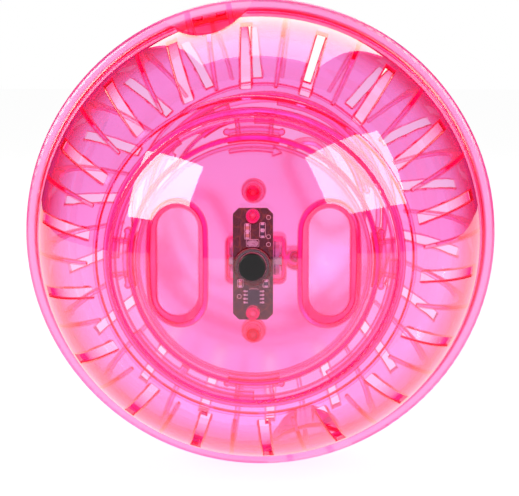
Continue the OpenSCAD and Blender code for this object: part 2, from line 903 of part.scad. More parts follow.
module battery_spring_contact() {
    color("#d0d0d2")
        front_side() {
            contact_strip(-1);
            contact_foot(-1);
            translate([cell_from - dimple_h - seat_gap, 0, cell_axis_h])
                rotate([0, 90, 0])
                    cylinder(r1 = spring_turn_r, r2 = spring_turn_r / 2, h = dimple_h, $fn = 48);
        }
}

module battery_plate_contact() {
    strip_x = box_shift + box_len / 2 - box_wall - contact_t;
    color("#d0d0d2")
        front_side() {
            contact_strip(1);
            contact_foot(1);
            translate([strip_x - dimple_h, 0, cell_axis_h])
                rotate([0, 90, 0]) cylinder(r = dimple_r, h = dimple_h + contact_t / 2, $fn = 48);
        }
}

// Cover over the battery box, with a round ear for its screw
module battery_cover() {
    lip_h = 1;
    low = box_low - cover_t;
    hole_r = screw_r + seat_gap;
    color("#ff84d0", 0.5)
        front_side()
            difference() {
                union() {
                    translate([box_shift, 0, low]) round_plate(box_len, box_w, box_round, cover_t);
                    translate([box_shift + screw_at, 0, low]) cylinder(r = screw_boss_r, h = cover_t);
                    translate([box_shift, -screw_boss_r, low])
                        cube([screw_at, 2 * screw_boss_r, cover_t]);
                }
                translate([box_shift + screw_at, 0, low - ov])
                    cylinder(r = hole_r, h = cover_t + 2 * ov, $fn = 32);
                translate([box_shift, 0, box_low - cover_t / 2])
                    round_plate(box_len - 2 * box_wall - 2 * lip_h, box_w - 2 * box_wall - 2 * lip_h,
                                box_round - box_wall, cover_t);
            }
}

module battery_cover_screw() {
    head_top = box_low - cover_t;
    color("#b8babd")
        front_side()
            translate([box_shift + screw_at, 0, head_top - screw_head_t])
                difference() {
                    union() {
                        cylinder(r = screw_head_r, h = screw_head_t, $fn = 48);
                        cylinder(r = screw_core_r - slide_gap,
                                 h = screw_head_t + cover_t + screw_len - run_gap, $fn = 32);
                    }
                    for (turn = [0, 90])
                        rotate([0, 0, turn])
                            translate([-screw_head_r / 1.5, -drive_w / 2, -ov])
                                cube([2 * screw_head_r / 1.5, drive_w, drive_depth + ov]);
                }
}

front_shell();
rear_shell();
front_door();
rear_door();
door_inner_disc();
circuit_board();
control_chip();
resonator();
resistors();
capacitors();
leds();
switch_housing();
switch_plunger();
push_button();
battery_cell_1();
battery_cell_2();
battery_cell_3();
battery_spring_contact();
battery_plate_contact();
battery_cover();
battery_cover_screw();
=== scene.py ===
# %% [markdown]
# # Exercise ball for a hamster
#
# The ball is two moulded half shells of clear pink polystyrene, snapped together at the
# equator, with a twist-lock door at each pole. The front door holds a light module: a small
# circuit board, a black push button and a battery box behind a round inner disc. Nearly all
# of it is see-through, so the look comes from three things: how much dye the light meets on
# its way, the light that the edges gather, which is painted on as crimson colour, and what the
# polished faces reflect.

import json
import math

import bmesh
import bpy
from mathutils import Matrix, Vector


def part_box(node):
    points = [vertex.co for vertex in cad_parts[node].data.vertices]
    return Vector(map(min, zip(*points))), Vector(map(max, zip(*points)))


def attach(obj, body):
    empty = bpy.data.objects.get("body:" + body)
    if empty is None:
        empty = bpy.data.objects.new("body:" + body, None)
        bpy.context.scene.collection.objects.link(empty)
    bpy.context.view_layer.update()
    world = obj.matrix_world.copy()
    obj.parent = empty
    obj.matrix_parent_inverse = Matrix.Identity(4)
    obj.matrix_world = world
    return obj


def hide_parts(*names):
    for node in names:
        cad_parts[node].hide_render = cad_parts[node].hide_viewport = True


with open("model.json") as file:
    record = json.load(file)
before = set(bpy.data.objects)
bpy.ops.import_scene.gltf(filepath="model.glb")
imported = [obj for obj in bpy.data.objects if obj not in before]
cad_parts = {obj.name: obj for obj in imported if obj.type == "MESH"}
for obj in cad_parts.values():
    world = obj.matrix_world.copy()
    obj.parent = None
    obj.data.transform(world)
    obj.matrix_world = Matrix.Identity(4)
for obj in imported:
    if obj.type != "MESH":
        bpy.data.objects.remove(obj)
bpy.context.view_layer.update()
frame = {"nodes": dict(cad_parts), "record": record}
NODES = frame["nodes"]
MM = 0.001

# %% [markdown]
# ## Camera
#
# A camera is matched from things of known shape. The flange's outer circle measures 234.2 px
# in the photograph, which sets the scale. Circles that lie further forward are seen lower
# and a little to the left, by 7.2 and 1.6 degrees, so the camera stands that far above and
# to the right of the ball's axis. The ball isn't in the middle of the frame, and the small
# camera shift takes that up.

# %% Camera
RIM_R = 88.9 * MM
DISTANCE = 0.7
ELEVATION, AZIMUTH = math.radians(7.24), math.radians(1.63)
FRAME_W, FRAME_H = 519, 496
CENTRE_X, CENTRE_Y = 259.67, 234.19
PX_PER_M = 2634.0
SENSOR_MM = 36

camera_data = bpy.data.cameras.new("camera")
camera = bpy.data.objects.new("camera", camera_data)
bpy.context.collection.objects.link(camera)
flat = math.cos(ELEVATION)
back = Vector((math.sin(AZIMUTH) * flat, -math.cos(AZIMUTH) * flat, math.sin(ELEVATION)))
camera.location = back * DISTANCE
camera.rotation_euler = (-back).to_track_quat("-Z", "Y").to_euler()
camera_data.sensor_width = SENSOR_MM
camera_data.lens = PX_PER_M * DISTANCE / FRAME_W * SENSOR_MM
camera_data.shift_x = (FRAME_W / 2 - CENTRE_X) / FRAME_W
camera_data.shift_y = (CENTRE_Y - FRAME_H / 2) / FRAME_W
camera_data.clip_start, camera_data.clip_end = 0.01, 20
bpy.context.scene.camera = camera
print("camera:", round(camera_data.lens, 1), "mm lens at", [round(v, 3) for v in camera.location])

# %% [markdown]
# ## Colours and nodes
#
# Colours are given as sRGB hex values, but Blender mixes light in linear values, so
# one function turns the first into the second. A second small function adds any node, for a
# material or for Geometry Nodes, with its settings and its links in one call.

# %% Colours and nodes
GAMMA_KNEE = 0.04045


def srgb(code):
    """A hex colour as linear red, green, blue and alpha."""
    parts = [int(code[i : i + 2], 16) / 255 for i in (1, 3, 5)]
    linear = [p / 12.92 if p <= GAMMA_KNEE else ((p + 0.055) / 1.055) ** 2.4 for p in parts]
    return (*linear, 1.0)


def node(tree, kind, settings=(), links=()):
    """Adds a node, sets its properties and sockets, and links what feeds it."""
    made = tree.nodes.new(kind)
    for name, value in dict(settings).items():
        if isinstance(name, str) and hasattr(made, name):
            setattr(made, name, value)
        else:
            made.inputs[name].default_value = value
    for name, source in dict(links).items():
        tree.links.new(source, made.inputs[name])
    return made


def new_material(name):
    material = bpy.data.materials.new(name)
    material.use_nodes = True
    material.node_tree.nodes.clear()
    return material, material.node_tree


print("half-bright grey is", round(srgb("#808080")[0], 3), "of white's light")

# %% [markdown]
# ## Dyed clear polystyrene
#
# The real walls are injection-moulded, polished and dyed right through. A tint on the surface
# alone would give every wall the same colour. Volume absorption gives each ray the colour of
# its own path, so a wall seen along its length is deeper than one seen face on.
#
# The crimson outlines need more. Light that runs along inside a wall comes out at its edges
# and on faces that turn away from the ball, such as the sides of slots, ribs, lugs and wells.
# A render would need very many rays to find it, so that light is painted on instead, as a
# deeper crimson colour of the surface in those places. The next cells find the places, each as
# a number from 0 to 1.
#
# The first place is easy to find, because the object is a ball: a face turns away from it
# where its normal departs from the direction out of the ball's centre.

# %% Side walls
FOLLOWS_BALL, TURNED_AWAY = 0.93, 0.45


def side_wall(tree, place):
    """0 on a face that follows the ball, 1 on one that turns well away from it."""
    outward = node(
        tree, "ShaderNodeVectorMath", {"operation": "NORMALIZE"}, {0: place.outputs["Object"]}
    )
    level = node(
        tree,
        "ShaderNodeVectorMath",
        {"operation": "DOT_PRODUCT"},
        {0: outward.outputs[0], 1: place.outputs["Normal"]},
    )
    either_way = node(
        tree, "ShaderNodeMath", {"operation": "ABSOLUTE"}, {0: level.outputs["Value"]}
    )
    return node(
        tree,
        "ShaderNodeMapRange",
        {"interpolation_type": "SMOOTHSTEP", "From Min": FOLLOWS_BALL, "From Max": TURNED_AWAY},
        {"Value": either_way.outputs[0]},
    ).outputs[0]


print("side walls: from", round(math.degrees(math.acos(FOLLOWS_BALL))), "degrees off the ball's own")

# %% [markdown]
# A side wall that runs round the axis, as the doorway's does, is seen through others like it,
# one behind the other, and their painted crimson light would add up to near black. So it takes
# a smaller share of the painted light than the side of a slot or a rib, which faces along the
# ring.

# %% Rings and slots
FACES_ALONG_RING = 0.8
RING_SHARE = 0.45


def side_share(tree, place, sides):
    """The share of the painted edge light: sides on a slot's or rib's flank, less on a ring-shaped
    wall.
    """
    around = node(
        tree,
        "ShaderNodeVectorMath",
        {"operation": "CROSS_PRODUCT", 0: (0, 1, 0)},
        {1: place.outputs["Object"]},
    )
    along_ring = node(
        tree, "ShaderNodeVectorMath", {"operation": "NORMALIZE"}, {0: around.outputs[0]}
    )
    turned = node(
        tree,
        "ShaderNodeVectorMath",
        {"operation": "DOT_PRODUCT"},
        {0: along_ring.outputs[0], 1: place.outputs["Normal"]},
    )
    either_way = node(
        tree, "ShaderNodeMath", {"operation": "ABSOLUTE"}, {0: turned.outputs["Value"]}
    )
    return node(
        tree,
        "ShaderNodeMapRange",
        {"From Max": FACES_ALONG_RING, "To Min": sides * RING_SHARE, "To Max": sides},
        {"Value": either_way.outputs[0]},
    ).outputs[0]


print("rings take", RING_SHARE, "of a slot's tint")

# %% [markdown]
# An edge could be drawn as a thin tube along it, but the moulded edges run to hundreds and
# meet in corners. A bevel node finds them all: it gives the normal that the surface would have
# if its edges were rounded, and where that differs from the true normal, an edge is near.

# %% Moulded edges
EDGE_REACH = 1.0 * MM
EDGE_STARTS, EDGE_FULL = 0.995, 0.955
EDGE_RAYS = 4


def moulded_edge(tree):
    """1 at an edge of the moulding, falling to 0 within the edge's reach."""
    rounded = node(tree, "ShaderNodeBevel", {"samples": EDGE_RAYS, "Radius": EDGE_REACH})
    surface = node(tree, "ShaderNodeNewGeometry")
    alike = node(
        tree,
        "ShaderNodeVectorMath",
        {"operation": "DOT_PRODUCT"},
        {0: rounded.outputs[0], 1: surface.outputs["True Normal"]},
    )
    return node(
        tree,
        "ShaderNodeMapRange",
        {"From Min": EDGE_STARTS, "From Max": EDGE_FULL},
        {"Value": alike.outputs["Value"]},
    ).outputs[0]


print("edges: tinted over", EDGE_REACH / MM, "mm")

# %% [markdown]
# The door's pegs, and the disc's sockets that they stand in, are seen end on, as small round
# pools of colour above and below the board. These pools are painted light, a crimson colour on
# the surface. Each pair stands in front, one peg above and one below the axis at the same
# distance, so the distance is measured from both at once, with the place mirrored into the
# upper right quarter.

# %% Pegs and sockets
BOARD_PEGS, DISC_PEGS = 16.3 * MM, 23.8 * MM
PEG_R, SOCKET_R = 2.3 * MM, 4.05 * MM
PEG_BLUR = 0.2 * MM
PEG_SHARE = 0.6


def peg_share(tree, place, away, radius):
    """The share of the painted light in the two round posts that stand that far from the axis."""
    mirrored = node(
        tree, "ShaderNodeVectorMath", {"operation": "ABSOLUTE"}, {0: place.outputs["Object"]}
    )
    across = node(
        tree,
        "ShaderNodeVectorMath",
        {"operation": "MULTIPLY", 1: (1, 0, 1)},
        {0: mirrored.outputs[0]},
    )
    from_post = node(
        tree,
        "ShaderNodeVectorMath",
        {"operation": "DISTANCE", 1: (0, 0, away)},
        {0: across.outputs[0]},
    )
    in_post = node(
        tree,
        "ShaderNodeMapRange",
        {"From Min": radius, "From Max": radius - PEG_BLUR, "To Max": PEG_SHARE},
        {"Value": from_post.outputs["Value"]},
    )
    along_axis = node(tree, "ShaderNodeSeparateXYZ", {}, {0: place.outputs["Object"]})
    in_front = node(
        tree, "ShaderNodeMath", {"operation": "LESS_THAN", 1: 0.0}, {0: along_axis.outputs[1]}
    )
    return node(
        tree,
        "ShaderNodeMath",
        {"operation": "MULTIPLY"},
        {0: in_post.outputs[0], 1: in_front.outputs[0]},
    ).outputs[0]


print("pegs:", BOARD_PEGS / MM, "and", DISC_PEGS / MM, "mm from the axis")

# %% [markdown]
# Two more places belong to the whole ball. The flange stands out of the round wall, and in
# the photograph it is pale, so the skin tint and all painted light end at its foot. And near
# the outline the round wall is seen along its length, where light that runs inside it comes
# out towards the eye. That light is painted on as a crimson rim colour. Layer Weight gives
# that slant, as it does for the sheen of cloth.

# %% Flange and rim
SHELL_R = 83.9 * MM
FLANGE_FOOT, FLANGE_PROPER = SHELL_R + 0.6 * MM, SHELL_R + 2 * MM
SLANT_STARTS, SLANT_FULL = 0.5, 0.8


def within_wall(tree, place):
    """1 as far out as the round wall goes, 0 on the flange."""
    across = node(
        tree,
        "ShaderNodeVectorMath",
        {"operation": "MULTIPLY", 1: (1, 0, 1)},
        {0: place.outputs["Object"]},
    )
    from_axis = node(
        tree, "ShaderNodeVectorMath", {"operation": "LENGTH"}, {0: across.outputs[0]}
    )
    return node(
        tree,
        "ShaderNodeMapRange",
        {"From Min": FLANGE_PROPER, "From Max": FLANGE_FOOT},
        {"Value": from_axis.outputs["Value"]},
    ).outputs[0]


def slanting_wall(tree, side):
    """1 where a face that follows the ball is seen at a low slant."""
    slant = node(tree, "ShaderNodeLayerWeight", {"Blend": 0.5})
    low = node(
        tree,
        "ShaderNodeMapRange",
        {"interpolation_type": "SMOOTHSTEP", "From Min": SLANT_STARTS, "From Max": SLANT_FULL},
        {"Value": slant.outputs["Facing"]},
    )
    round_wall = node(tree, "ShaderNodeMath", {"operation": "SUBTRACT", 0: 1.0}, {1: side})
    return node(
        tree,
        "ShaderNodeMath",
        {"operation": "MULTIPLY"},
        {0: low.outputs[0], 1: round_wall.outputs[0]},
    ).outputs[0]


print("flange: pale from", round(FLANGE_PROPER / MM, 1), "mm outwards")

# %% [markdown]
# The plastic itself is glass with polystyrene's IOR, and dye in its volume, whose density is
# worked out from how much red, green and blue one wall lets through. The melt shrinks a little
# as it cools, so the faces have a slow ripple that bends the reflections. Side walls are less
# polished than the round ones, because that part of a mould is hard to reach. Shadow rays pass
# nearly straight through, because glass that casts a full shadow turns its own inside black.

# %% Dyed clear polystyrene with painted edge and rim light
WALL = 2 * MM
POLYSTYRENE_IOR = 1.59
RIPPLE = 13 * MM
SIDE_ROUGHNESS = 0.3
SHADE_PASSED = 0.97
# the two crimsons are painted light, not dye: the first at edges, flanks and pegs, the second at a low
# slant
PAINTED_EDGE_LIGHT, PAINTED_RIM_LIGHT = srgb("#f1033c"), srgb("#fe1665")


def dyed_plastic_with_painted_light(name, passed, skin, ripple, haze, sides, pegs=()):
    """passed is the share of red, green and blue that one wall lets through."""
    material, tree = new_material(name)
    place = node(tree, "ShaderNodeTexCoord")
    side = side_wall(tree, place)
    flank = node(
        tree, "ShaderNodeMath", {"operation": "MULTIPLY"}, {0: side, 1: side_share(tree, place, sides)}
    )
    # painted light: the places that get the crimson edge light, as numbers from 0 to 1
    painted_light_places = [moulded_edge(tree), flank.outputs[0]]
    painted_light_places += [peg_share(tree, place, away, radius) for away, radius in pegs]
    drawn = painted_light_places[0]
    for share in painted_light_places[1:]:
        drawn = node(
            tree, "ShaderNodeMath", {"operation": "MAXIMUM"}, {0: drawn, 1: share}
        ).outputs[0]
    body = within_wall(tree, place)
    edge = node(tree, "ShaderNodeMath", {"operation": "MULTIPLY"}, {0: drawn, 1: body})
    # the skin tint, with painted rim light mixed in where the wall is seen at a low slant
    skin_and_painted_rim_light = node(
        tree,
        "ShaderNodeMix",
        {"data_type": "RGBA", 6: srgb(skin), 7: PAINTED_RIM_LIGHT},
        {0: slanting_wall(tree, side)},
    )
    flange_tint = node(
        tree,
        "ShaderNodeMix",
        {"data_type": "RGBA", 6: (1, 1, 1, 1)},
        {0: body, 7: skin_and_painted_rim_light.outputs[2]},
    )
    # painted edge light: crimson laid over the skin tint at edges, flanks and pegs
    tint = node(
        tree,
        "ShaderNodeMix",
        {"data_type": "RGBA", 7: PAINTED_EDGE_LIGHT},
        {0: edge.outputs[0], 6: flange_tint.outputs[2]},
    )
    wave = node(
        tree,
        "ShaderNodeTexNoise",
        {"Scale": 1 / RIPPLE, "Detail": 1.0, "Roughness": 0.4},
        {"Vector": place.outputs["Object"]},
    )
    bend = node(
        tree, "ShaderNodeBump", {"Strength": 1.0, "Distance": ripple}, {"Height": wave.outputs[0]}
    )
    polish = node(
        tree, "ShaderNodeMapRange", {"To Min": haze, "To Max": SIDE_ROUGHNESS}, {"Value": side}
    )
    glass = node(
        tree,
        "ShaderNodeBsdfPrincipled",
        {"IOR": POLYSTYRENE_IOR, "Transmission Weight": 1.0},
        {"Base Color": tint.outputs[2], "Roughness": polish.outputs[0], "Normal": bend.outputs[0]},
    )
    strongest = max(-math.log(share) for share in passed)
    kept_back = [1 + math.log(share) / strongest for share in passed]
    dye = node(
        tree,
        "ShaderNodeVolumeAbsorption",
        {"Color": (*kept_back, 1.0), "Density": strongest / WALL},
    )
    path = node(tree, "ShaderNodeLightPath")
    shade = node(
        tree,
        "ShaderNodeBsdfTransparent",
        {"Color": (SHADE_PASSED, SHADE_PASSED, SHADE_PASSED, 1)},
    )
    both = node(
        tree,
        "ShaderNodeMixShader",
        {},
        {0: path.outputs["Is Shadow Ray"], 1: glass.outputs[0], 2: shade.outputs[0]},
    )
    node(
        tree,
        "ShaderNodeOutputMaterial",
        {},
        {"Surface": both.outputs[0], "Volume": dye.outputs[0]},
    )
    print(name + ":", round(passed[1] * 100), "% of the green passes a wall")
    return material


# %% [markdown]
# The three clear materials are one plastic. The shells have the deepest face tint and the
# strongest ripple, because they are the largest mouldings. The door is the best polished. The
# module's parts are plainer, with a slight haze, and are seen only through the door.

# %% Three clear mouldings
# shells: even, deep pink, with a ripple that makes long reflections waver
SHELL = dyed_plastic_with_painted_light(
    "dyed clear polystyrene with painted light, shell",
    passed=(0.9985, 0.68, 0.90),
    skin="#ffe6fa",
    ripple=0.06 * MM,
    haze=0.02,
    sides=0.9,
)
# doors: clear as glass, so that the module shows through sharply
DOOR = dyed_plastic_with_painted_light(
    "dyed clear polystyrene with painted light, door",
    passed=(0.999, 0.64, 0.89),
    skin="#fff9fc",
    ripple=0.02 * MM,
    haze=0.015,
    sides=0.8,
    pegs=((BOARD_PEGS, PEG_R), (DISC_PEGS, PEG_R)),
)
# disc and battery cover: slightly frosted, so that what lies behind them is softer
MODULE = dyed_plastic_with_painted_light(
    "dyed clear polystyrene with painted light, light module",
    passed=(0.999, 0.66, 0.89),
    skin="#ffffff",
    ripple=0.02 * MM,
    haze=0.14,
    sides=0.6,
    pegs=((DISC_PEGS, SOCKET_R),),
)

# %% [markdown]
# ## Small parts
#
# Everything else is small and sits behind pink walls, but each finish still has what its
# making leaves: grain, speckle, brushing, plating. Each pattern's scale comes from a real size.

# %% A surface with a fine pattern
NOISE_LOW, NOISE_HIGH = 0.3, 0.7
GLOSS_SPREAD = 0.08


def patterned(
    name, light, dark, grain, relief, roughness, metallic=0.0, stretch=(1, 1, 1), shine=0.5
):
    """Two close shades and a fine relief, both from one noise whose grain has a real size."""
    material, tree = new_material(name)
    place = node(tree, "ShaderNodeTexCoord")
    drawn = node(
        tree, "ShaderNodeMapping", {"Scale": stretch}, {"Vector": place.outputs["Object"]}
    )
    speck = node(
        tree,
        "ShaderNodeTexNoise",
        {"Scale": 1 / grain, "Detail": 3.0, "Roughness": 0.6},
        {"Vector": drawn.outputs[0]},
    )
    shade = node(
        tree,
        "ShaderNodeMix",
        {"data_type": "RGBA", 6: srgb(dark), 7: srgb(light)},
        {0: speck.outputs[0]},
    )
    gloss = node(
        tree,
        "ShaderNodeMapRange",
        {
            "From Min": NOISE_LOW,
            "From Max": NOISE_HIGH,
            "To Min": roughness - GLOSS_SPREAD,
            "To Max": roughness + GLOSS_SPREAD,
        },
        {"Value": speck.outputs[0]},
    )
    grit = node(
        tree, "ShaderNodeBump", {"Strength": 1.0, "Distance": relief}, {"Height": speck.outputs[0]}
    )
    skin = node(
        tree,
        "ShaderNodeBsdfPrincipled",
        {"Metallic": metallic, "Specular IOR Level": shine},
        {"Base Color": shade.outputs[2], "Roughness": gloss.outputs[0], "Normal": grit.outputs[0]},
    )
    node(tree, "ShaderNodeOutputMaterial", {}, {"Surface": skin.outputs[0]})
    return material, tree, place, skin, shade


# %% Plain finishes
# satin moulded ABS: spark-eroded mould, so a fine even grain that breaks up the highlight
ABS, *_ = patterned(
    "satin moulded ABS", "#1e1c20", "#121014", 0.35 * MM, 0.02 * MM, 0.42, shine=0.3
)
# glass-filled nylon of the switch: duller and drier than the button
NYLON, *_ = patterned(
    "moulded glass-filled nylon", "#2a2a2c", "#151517", 0.5 * MM, 0.02 * MM, 0.6
)
# tin: pale, soft-edged reflections, slightly grainy where it froze
TIN, *_ = patterned("reflowed tin solder", "#f0ece8", "#c8c4c0", 0.4 * MM, 0.03 * MM, 0.3, 1.0)
# fired ceramic of the capacitors: even tan with a dry, faintly mottled face
CERAMIC, *_ = patterned(
    "fired capacitor ceramic", "#c8a478", "#a07c54", 0.5 * MM, 0.01 * MM, 0.5
)
# resistor glaze: black glass over the resistive film
GLAZE, *_ = patterned("resistor glaze", "#26262a", "#101012", 0.4 * MM, 0.01 * MM, 0.25)
# the light's white cup and its yellow filling, which turns blue light to white
CUP, *_ = patterned(
    "white moulded lamp cup", "#f6f3ea", "#e0dccf", 0.6 * MM, 0.01 * MM, 0.45
)
PHOSPHOR, *_ = patterned(
    "phosphor in clear resin", "#f0dc80", "#d8bc50", 0.2 * MM, 0.01 * MM, 0.15
)
# nickel on spring steel: bright, with the rolling lines of the strip along its length
NICKEL, *_ = patterned(
    "nickel-plated strip", "#d8d2c8", "#b4aea4", 0.3 * MM, 0.008 * MM, 0.3, 1.0, (1, 0.1, 1)
)
# legend ink: matt, off-white
INK, *_ = patterned(
    "screen-printed legend ink", "#f2e6d8", "#d8ccbc", 0.3 * MM, 0.01 * MM, 0.7
)
print("finishes so far:", len(bpy.data.materials))

# %% [markdown]
# ### Circuit board
#
# The board is glass cloth in epoxy, copper tracks and a brown solder mask over all of it. The
# tracks show through the mask as slightly lighter lines. Cells of a Voronoi texture measured
# by the Manhattan distance have edges that run straight and turn at right angles, as tracks
# do, so their edges stand for the tracks. An edge is where the nearest and the second nearest
# cell are equally far. The cut sides of the board show the bare cloth.

# %% Circuit board
TRACK_CELL = 3.2 * MM
TRACK_CORE, TRACK_END = 0.10, 0.16
MASK, mask_tree, mask_place, mask_skin, mask_shade = patterned(
    "solder mask over copper tracks", "#4c2410", "#301406", 1.5 * MM, 0.01 * MM, 0.45, shine=0.12
)
second, nearest = [
    node(
        mask_tree,
        "ShaderNodeTexVoronoi",
        {"feature": feature, "distance": "MANHATTAN", "Scale": 1 / TRACK_CELL, "Randomness": 0.7},
        {"Vector": mask_place.outputs["Object"]},
    )
    for feature in ("F2", "F1")
]
between = node(
    mask_tree,
    "ShaderNodeMath",
    {"operation": "SUBTRACT"},
    {0: second.outputs["Distance"], 1: nearest.outputs["Distance"]},
)
track = node(
    mask_tree,
    "ShaderNodeMapRange",
    {"From Min": TRACK_END, "From Max": TRACK_CORE},
    {"Value": between.outputs[0]},
)
over_copper = node(
    mask_tree,
    "ShaderNodeMix",
    {"data_type": "RGBA", 7: srgb("#663818")},
    {0: track.outputs[0], 6: mask_shade.outputs[2]},
)
faces = node(mask_tree, "ShaderNodeSeparateXYZ", {}, {0: mask_place.outputs["Normal"]})
flat_face = node(mask_tree, "ShaderNodeMath", {"operation": "ABSOLUTE"}, {0: faces.outputs[1]})
cut_side = node(
    mask_tree, "ShaderNodeMath", {"operation": "LESS_THAN", 1: 0.5}, {0: flat_face.outputs[0]}
)
board_colour = node(
    mask_tree,
    "ShaderNodeMix",
    {"data_type": "RGBA", 7: srgb("#8c7a48")},
    {0: cut_side.outputs[0], 6: over_copper.outputs[2]},
)
mask_tree.links.new(board_colour.outputs[2], mask_skin.inputs["Base Color"])
print("board: tracks in cells of", TRACK_CELL / MM, "mm")

# %% [markdown]
# ### Controller chip
#
# The chip is one node of the frame, its epoxy body and its eight leads together. A material can
# tell them apart by place: the leads are whatever lies outside the body's width.

# %% Controller chip
CHIP_BODY_W = 3.9 * MM
LEAD_CLEAR = 0.02 * MM
chip_low, chip_high = [Vector(corner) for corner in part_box("control_chip")]
EPOXY, chip_tree, chip_place, chip_skin, chip_shade = patterned(
    "moulded chip epoxy", "#232325", "#121214", 0.25 * MM, 0.01 * MM, 0.5, shine=0.2
)
across = node(chip_tree, "ShaderNodeSeparateXYZ", {}, {0: chip_place.outputs["Object"]})
off_middle = node(
    chip_tree,
    "ShaderNodeMath",
    {"operation": "SUBTRACT", 1: (chip_low.x + chip_high.x) / 2},
    {0: across.outputs[0]},
)
reach = node(chip_tree, "ShaderNodeMath", {"operation": "ABSOLUTE"}, {0: off_middle.outputs[0]})
is_lead = node(
    chip_tree,
    "ShaderNodeMath",
    {"operation": "GREATER_THAN", 1: CHIP_BODY_W / 2 + LEAD_CLEAR},
    {0: reach.outputs[0]},
)
chip_colour = node(
    chip_tree,
    "ShaderNodeMix",
    {"data_type": "RGBA", 7: srgb("#e0dcd6")},
    {0: is_lead.outputs[0], 6: chip_shade.outputs[2]},
)
chip_tree.links.new(chip_colour.outputs[2], chip_skin.inputs["Base Color"])
chip_tree.links.new(is_lead.outputs[0], chip_skin.inputs["Metallic"])
print("chip:", [round(v / MM, 2) for v in (chip_high - chip_low)], "mm over its leads")

# %% [markdown]
# ### Button cells
#
# A cell's can is pressed and nickel-plated: the tool leaves fine rings round its axis, and a
# dark polymer gasket shows as a thin ring where the can is crimped over. Both follow the
# distance from the axis and the place along it.

# %% Button cells
RING_PITCH = 0.25 * MM
RING_GLOSS = (0.2, 0.34)
GASKET_AT, GASKET_HALF = 0.72, 0.035
cell_low, cell_high = [Vector(corner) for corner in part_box("battery_cell_1")]
CELL_T = cell_high.x - cell_low.x
CAN, can_tree, can_place, can_skin, can_shade = patterned(
    "pressed nickel-plated can", "#d2d2d4", "#b2b2b6", 0.5 * MM, 0.005 * MM, 0.25, 1.0
)
centred = node(
    can_tree,
    "ShaderNodeVectorMath",
    {"operation": "SUBTRACT", 1: (cell_low.x, (cell_low.y + cell_high.y) / 2, 0)},
    {0: can_place.outputs["Object"]},
)
off_axis = node(
    can_tree,
    "ShaderNodeVectorMath",
    {"operation": "MULTIPLY", 1: (0, 1, 1)},
    {0: centred.outputs[0]},
)
radius = node(can_tree, "ShaderNodeVectorMath", {"operation": "LENGTH"}, {0: off_axis.outputs[0]})
phase = node(
    can_tree,
    "ShaderNodeMath",
    {"operation": "MULTIPLY", 1: 2 * math.pi / RING_PITCH},
    {0: radius.outputs["Value"]},
)
rings = node(can_tree, "ShaderNodeMath", {"operation": "SINE"}, {0: phase.outputs[0]})
ring_gloss = node(
    can_tree,
    "ShaderNodeMapRange",
    {"From Min": -1.0, "To Min": RING_GLOSS[0], "To Max": RING_GLOSS[1]},
    {"Value": rings.outputs[0]},
)
can_tree.links.new(ring_gloss.outputs[0], can_skin.inputs["Roughness"])
along = node(can_tree, "ShaderNodeSeparateXYZ", {}, {0: centred.outputs[0]})
in_cells = node(
    can_tree, "ShaderNodeMath", {"operation": "DIVIDE", 1: CELL_T}, {0: along.outputs[0]}
)
in_one = node(can_tree, "ShaderNodeMath", {"operation": "FRACT"}, {0: in_cells.outputs[0]})
gasket = node(
    can_tree,
    "ShaderNodeMath",
    {"operation": "COMPARE", 1: GASKET_AT, 2: GASKET_HALF},
    {0: in_one.outputs[0]},
)
can_colour = node(
    can_tree,
    "ShaderNodeMix",
    {"data_type": "RGBA", 7: srgb("#2c2c30")},
    {0: gasket.outputs[0], 6: can_shade.outputs[2]},
)
can_tree.links.new(can_colour.outputs[2], can_skin.inputs["Base Color"])
print("cells:", round(CELL_T / MM, 2), "mm thick, gasket at", GASKET_AT, "of that")

# %% [markdown]
# ### Finishes of the frame's pieces
#
# A piece of the frame whose shape is right keeps its mesh and only gets its material. The
# record names a material slot for each piece, and each slot gets one finish.

# %% Finishes of the frame's pieces
FINISH = {
    "shell_pink": SHELL,
    "door_pink": DOOR,
    "module_pink": MODULE,
    "board_mask": MASK,
    "epoxy_black": NYLON,
    "ceramic": CERAMIC,
    "lens_white": CUP,
    "button_black": ABS,
    "bright_steel": NICKEL,
    "cell_steel": CAN,
}
for part in frame["record"]["subparts"]:
    for held in NODES[part["node"]].material_slots:
        held.material = FINISH[part["material_slot"]]
NODES["control_chip"].material_slots[0].material = EPOXY
print("finishes:", len(FINISH) + 1)

# %% [markdown]
# ## Polished walls
#
# A frame mesh is loose triangles, and its normals turn a little at each slot's edge. On a
# painted part that wouldn't show, but clear plastic bends light by its normals, and a wrong
# one sends a ray nowhere and leaves a black speck. So the six clear mouldings are copied and
# welded. Faces that meet at a real edge get a sharp edge, and where a face lies on one of
# the ball's spheres, its normals are set straight from the centre, which no mesh can round.
# The spheres are the outer and inner faces of the shells, and of the collars and doors.
# Every wall is also drawn in by 0.015 mm, because two clear pieces whose faces lie in one
# plane catch rays between them, and the place goes black.

# %% Polished walls
WELD = 0.002 * MM
COLLAR_R = 85.6 * MM
SPHERES = (SHELL_R, SHELL_R - WALL, COLLAR_R, COLLAR_R - WALL)
ON_SPHERE = 0.03 * MM
NEARLY_RADIAL = math.cos(math.radians(14))
SHARP = math.radians(24)
CLEAR = 0.015 * MM


def welded_walls(name):
    """A smooth-shaded copy of a clear node's mesh, drawn in a hair's breadth all over."""
    work = bmesh.new()
    work.from_mesh(NODES[name].data)
    bmesh.ops.remove_doubles(work, verts=work.verts, dist=WELD)
    work.normal_update()
    for vert in work.verts:
        vert.co -= vert.normal * CLEAR
    mesh = bpy.data.meshes.new(name + "_polished")
    work.verts.index_update()
    faces = [[vert.index for vert in face.verts] for face in work.faces]
    mesh.from_pydata([vert.co.copy() for vert in work.verts], [], faces)
    work.free()
    mesh.polygons.foreach_set("use_smooth", [True] * len(mesh.polygons))
    mesh.set_sharp_from_angle(angle=SHARP)
    return mesh


